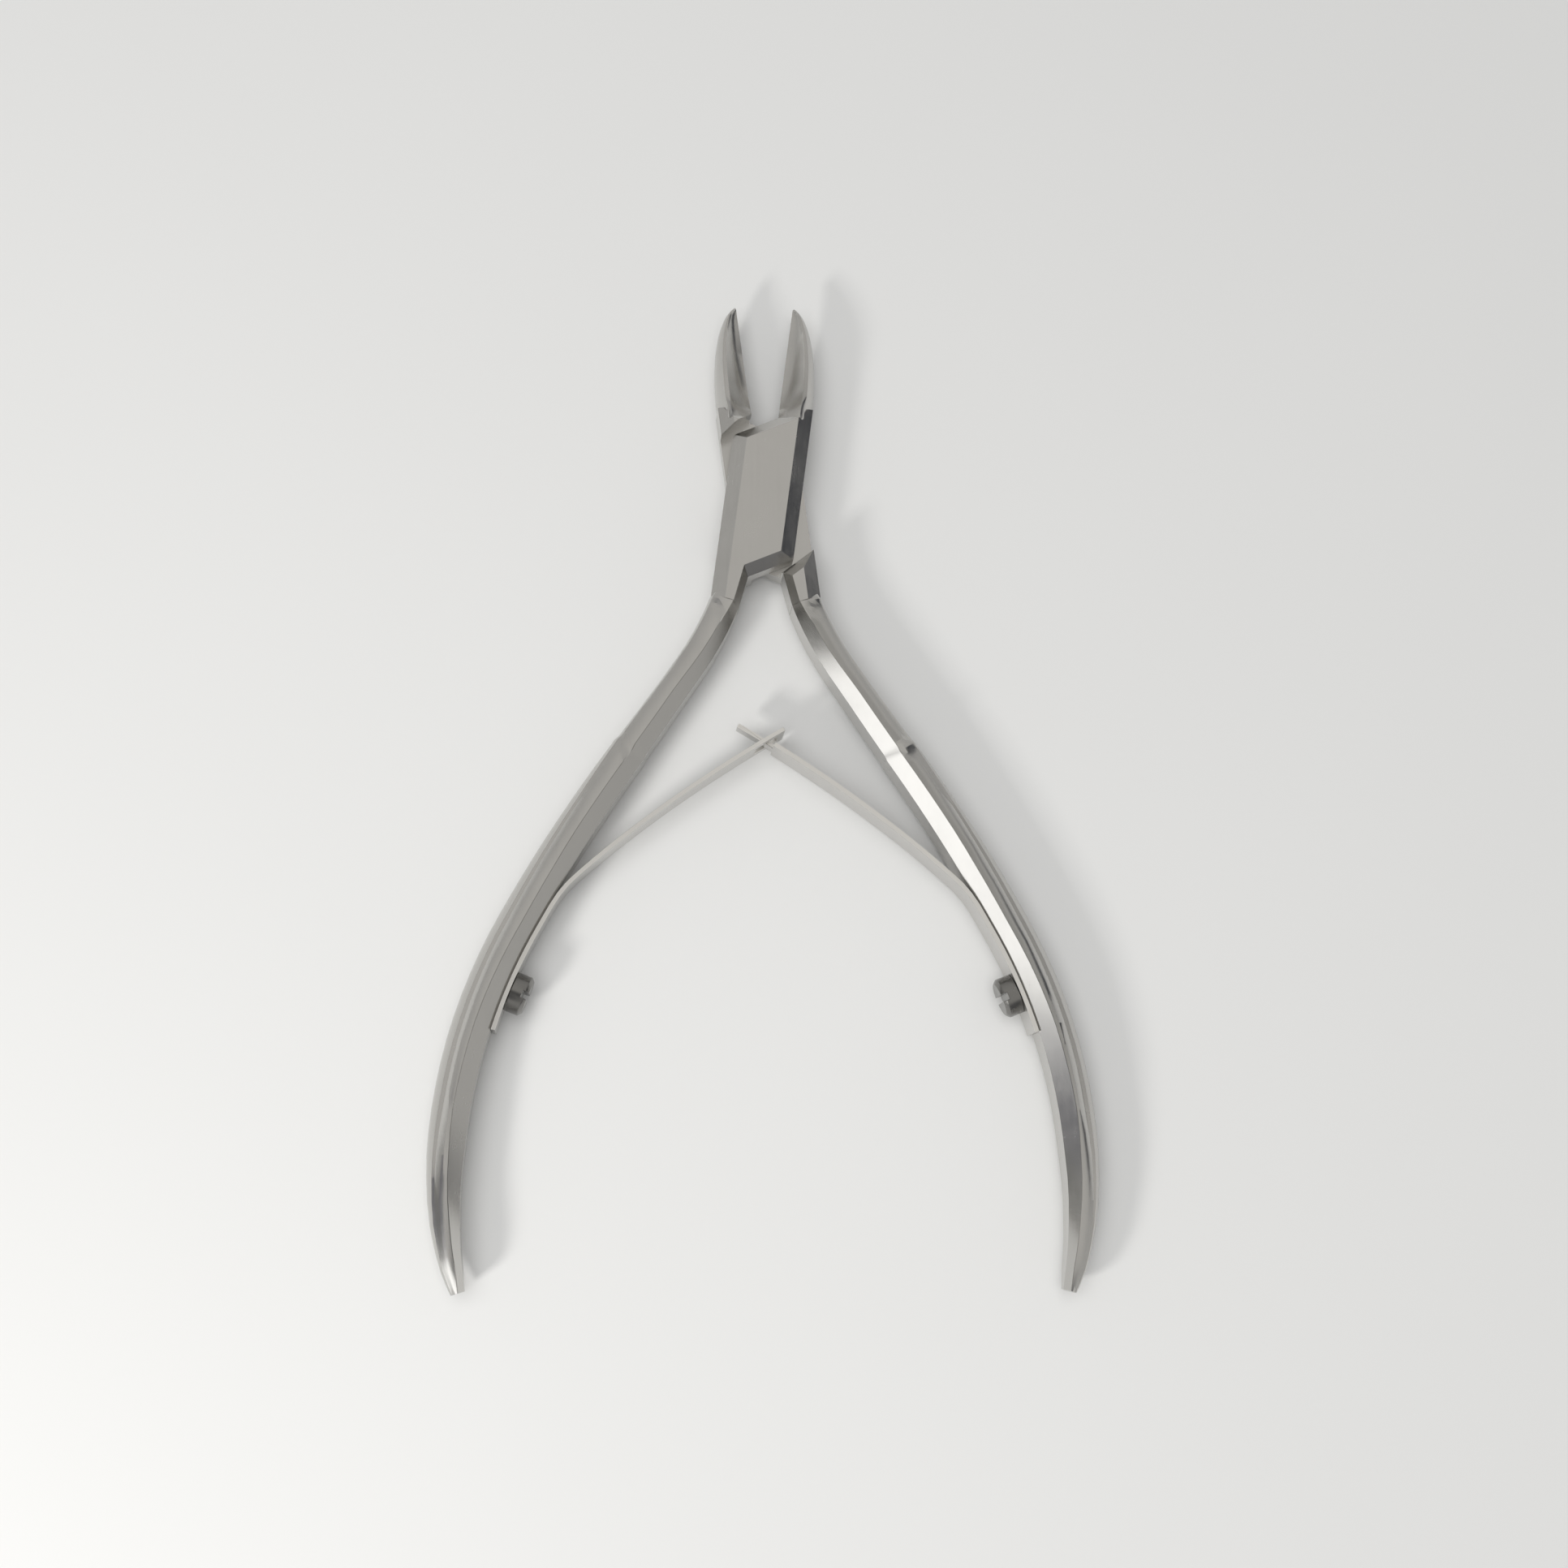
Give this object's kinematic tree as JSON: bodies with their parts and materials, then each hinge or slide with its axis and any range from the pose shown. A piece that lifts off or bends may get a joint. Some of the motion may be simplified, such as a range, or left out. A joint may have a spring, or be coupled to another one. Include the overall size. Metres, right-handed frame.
{
  "type": "cuticle nipper",
  "caption": "Lap-jointed steel cuticle nipper with hollow-ground pointed jaws, long curved handles and crossed leaf springs, standing open.",
  "frame": {"origin": "middle of the open nipper's outline, on the plane of its back face; the pivot axis is 31.8 mm towards +Y", "axes": "+Y from the handles to the jaw tips, +X to the right seen from the front, +Z out of the front face, along the pivot screw"},
  "size_m": [0.0756, 0.1152, 0.0072],
  "materials": {
    "lever_steel": "satin ground stainless steel",
    "spring_steel": "lightly polished spring strip",
    "screw_steel": "turned stainless steel"
  },
  "bodies": {
    "front": {"front_lever": "lever_steel", "pivot_screw": "screw_steel", "left_spring_screw": "screw_steel"},
    "back": {"back_lever": "lever_steel", "right_spring_screw": "screw_steel"},
    "left_leaf": {"left_spring": "spring_steel"},
    "right_leaf": {"right_spring": "spring_steel"}
  },
  "joints": [
    {"name": "pivot", "type": "hinge", "parent": "front", "child": "back", "pos_m": [0, 0.03183, 0.0036], "axis": [0, 0, -1], "range_deg": [0, 15], "stiffness_Nm_per_rad": 2},
    {"name": "left_flexure", "type": "hinge", "parent": "front", "child": "left_leaf", "pos_m": [-0.02307, -0.01266, 0.0036], "axis": [0, 0, 1], "range_deg": [0, 10], "deforming": ["left_spring"]},
    {"name": "right_flexure", "type": "hinge", "parent": "back", "child": "right_leaf", "pos_m": [0.02307, -0.01266, 0.0036], "axis": [0, 0, -1], "range_deg": [0, 10], "deforming": ["right_spring"]}
  ],
  "couplings": [
    {"joint": "left_flexure", "follows": "pivot", "ratio": 0.6},
    {"joint": "right_flexure", "follows": "pivot", "ratio": 0.6}
  ]
}
